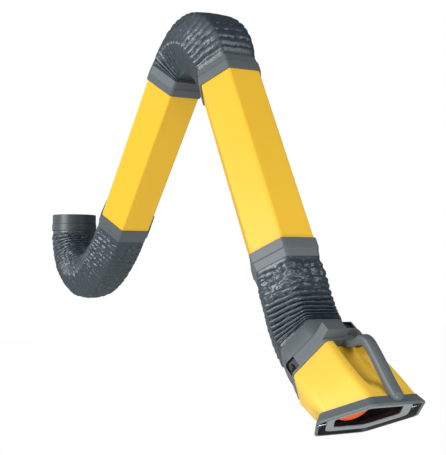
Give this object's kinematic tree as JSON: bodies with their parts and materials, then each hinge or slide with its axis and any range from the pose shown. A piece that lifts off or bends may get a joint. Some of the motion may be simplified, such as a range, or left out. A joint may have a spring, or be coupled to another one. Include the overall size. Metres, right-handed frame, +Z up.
{
  "type": "fume extraction arm",
  "caption": "Swivelling fume extraction arm: hexagonal tubes joined by ribbed hoses over friction hinges, ending in a flared hexagonal hood with a handle.",
  "frame": {"origin": "middle of the round connection's upper rim", "axes": "+Z up along the swivel axis, +X along the reach, Y across the arm"},
  "size_m": [2.0109, 0.2606, 1.1098],
  "materials": {
    "yellow_enamel": "powder coat",
    "yellow_plastic": "moulded, satin",
    "grey_plastic": "moulded, fine grain",
    "dark_plastic": "moulded, satin",
    "hose_fabric": "coated, pleated over a wire",
    "black_plastic": "moulded",
    "orange_plastic": "moulded",
    "zinc_steel": "zinc plated",
    "friction_lining": "pressed fibre",
    "white_nylon": "moulded"
  },
  "bodies": {
    "base": {"connection_spigot": "dark_plastic", "swivel_bearing_ring": "white_nylon", "swivel_retaining_ring": "zinc_steel"},
    "swivel": {"hose_collar": "dark_plastic", "shoulder_bracket": "zinc_steel", "shoulder_hose": "hose_fabric"},
    "upper_arm": {"upper_tube": "yellow_enamel", "upper_tube_lower_collar": "grey_plastic", "upper_tube_upper_collar": "grey_plastic", "shoulder_cheek_left": "zinc_steel", "shoulder_cheek_right": "zinc_steel", "shoulder_pivot_bolt": "zinc_steel", "shoulder_pivot_nut": "zinc_steel", "shoulder_spring_washer": "zinc_steel", "shoulder_friction_disc_left": "friction_lining", "shoulder_friction_disc_right": "friction_lining", "elbow_tongue": "zinc_steel", "elbow_hose": "hose_fabric"},
    "forearm": {"forearm_tube": "yellow_enamel", "forearm_tube_upper_collar": "grey_plastic", "forearm_tube_lower_collar": "grey_plastic", "elbow_cheek_left": "zinc_steel", "elbow_cheek_right": "zinc_steel", "elbow_pivot_bolt": "zinc_steel", "elbow_pivot_nut": "zinc_steel", "elbow_spring_washer": "zinc_steel", "elbow_friction_disc_left": "friction_lining", "elbow_friction_disc_right": "friction_lining", "wrist_tongue": "zinc_steel", "wrist_hose": "hose_fabric"},
    "hood_carrier": {"wrist_cuff": "grey_plastic", "wrist_cheek_left": "zinc_steel", "wrist_cheek_right": "zinc_steel", "wrist_pivot_bolt": "zinc_steel", "wrist_pivot_nut": "zinc_steel", "wrist_spring_washer": "zinc_steel", "wrist_friction_disc_left": "friction_lining", "wrist_friction_disc_right": "friction_lining"},
    "hood": {"neck_ring": "grey_plastic", "neck_clip_front": "black_plastic", "neck_clip_left": "black_plastic", "neck_clip_right": "black_plastic", "hood_shell": "yellow_plastic", "handle": "grey_plastic", "mouth_frame": "grey_plastic", "inner_flange": "grey_plastic", "mouth_guard": "zinc_steel"},
    "damper": {"damper_disc": "orange_plastic", "damper_shaft": "zinc_steel", "damper_lever": "black_plastic"}
  },
  "joints": [
    {"name": "swivel_turn", "type": "hinge", "parent": "base", "child": "swivel", "pos_m": [0, 0, 0], "axis": [0, 0, 1], "continuous": true},
    {"name": "shoulder_lift", "type": "hinge", "parent": "swivel", "child": "upper_arm", "pos_m": [0.18, 0, -0.205], "axis": [0, 1, 0], "range_deg": [-28, 47], "deforming": ["shoulder_hose"]},
    {"name": "elbow_fold", "type": "hinge", "parent": "upper_arm", "child": "forearm", "pos_m": [1.0318, 0, 0.4274], "axis": [0, 1, 0], "range_deg": [-95, 38], "deforming": ["elbow_hose"]},
    {"name": "wrist_tilt", "type": "hinge", "parent": "forearm", "child": "hood_carrier", "pos_m": [1.5852, 0, -0.3794], "axis": [0, 1, 0], "range_deg": [-35, 60], "deforming": ["wrist_hose"]},
    {"name": "hood_swivel", "type": "hinge", "parent": "hood_carrier", "child": "hood", "pos_m": [1.678, 0, -0.442], "axis": [0.829, 0, -0.5592], "range_deg": [-90, 90]},
    {"name": "damper_turn", "type": "hinge", "parent": "hood", "child": "damper", "pos_m": [1.73603, 0, -0.48114], "axis": [0, 1, 0], "range_deg": [0, 90]}
  ]
}
